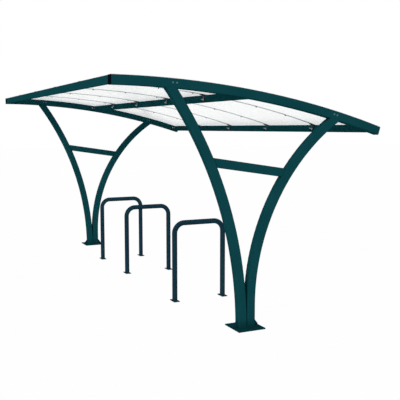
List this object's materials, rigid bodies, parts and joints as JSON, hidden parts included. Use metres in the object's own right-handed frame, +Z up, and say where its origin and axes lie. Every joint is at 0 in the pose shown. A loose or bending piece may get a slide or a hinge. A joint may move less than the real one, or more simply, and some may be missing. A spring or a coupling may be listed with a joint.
{
  "type": "bike shelter",
  "caption": "Open bike shelter: bent tube masts shaped like a Y carry a curved clear roof that slopes to one side, over a row of steel hoops on the ground.",
  "frame": {"origin": "on the ground, under the middle of the whole shelter's box", "axes": "+X towards the low edge of the roof, +Y along the length from the left mast to the right one as seen from the low edge, +Z up"},
  "size_m": [3.0108, 5.725, 2.479],
  "materials": {
    "frame_paint": "satin powder coat, dark teal",
    "hoop_paint": "satin powder coat, darker blue teal",
    "strip_paint": "satin",
    "cleat_black": "black coated steel",
    "cap_plastic": "matt black plastic",
    "clear_sheet": "clear polycarbonate sheet"
  },
  "bodies": {
    "root": {"left_base_plate": "frame_paint", "left_high_gusset": "frame_paint", "left_low_gusset": "frame_paint", "left_high_leg": "frame_paint", "left_low_leg": "frame_paint", "left_tie_bar": "frame_paint", "left_rafter": "frame_paint", "left_high_cap": "cap_plastic", "left_low_cap": "cap_plastic", "right_base_plate": "frame_paint", "right_high_gusset": "frame_paint", "right_low_gusset": "frame_paint", "right_high_leg": "frame_paint", "right_low_leg": "frame_paint", "right_tie_bar": "frame_paint", "right_rafter": "frame_paint", "right_high_cap": "cap_plastic", "right_low_cap": "cap_plastic", "high_beam": "frame_paint", "high_joint_cleats": "cleat_black", "high_end_cleats": "frame_paint", "middle_beam": "frame_paint", "middle_joint_cleats": "cleat_black", "middle_end_cleats": "frame_paint", "low_beam": "frame_paint", "low_joint_cleats": "cleat_black", "low_end_cleats": "frame_paint", "roof_sheet_1": "clear_sheet", "roof_sheet_2": "clear_sheet", "roof_sheet_3": "clear_sheet", "roof_sheet_4": "clear_sheet", "roof_sheet_5": "clear_sheet", "joint_strip_1": "strip_paint", "joint_strip_2": "strip_paint", "joint_strip_3": "strip_paint", "joint_strip_4": "strip_paint", "hoop_1": "hoop_paint", "hoop_1_high_foot": "hoop_paint", "hoop_1_low_foot": "hoop_paint", "hoop_2": "hoop_paint", "hoop_2_high_foot": "hoop_paint", "hoop_2_low_foot": "hoop_paint", "hoop_3": "hoop_paint", "hoop_3_high_foot": "hoop_paint", "hoop_3_low_foot": "hoop_paint"}
  },
  "joints": []
}
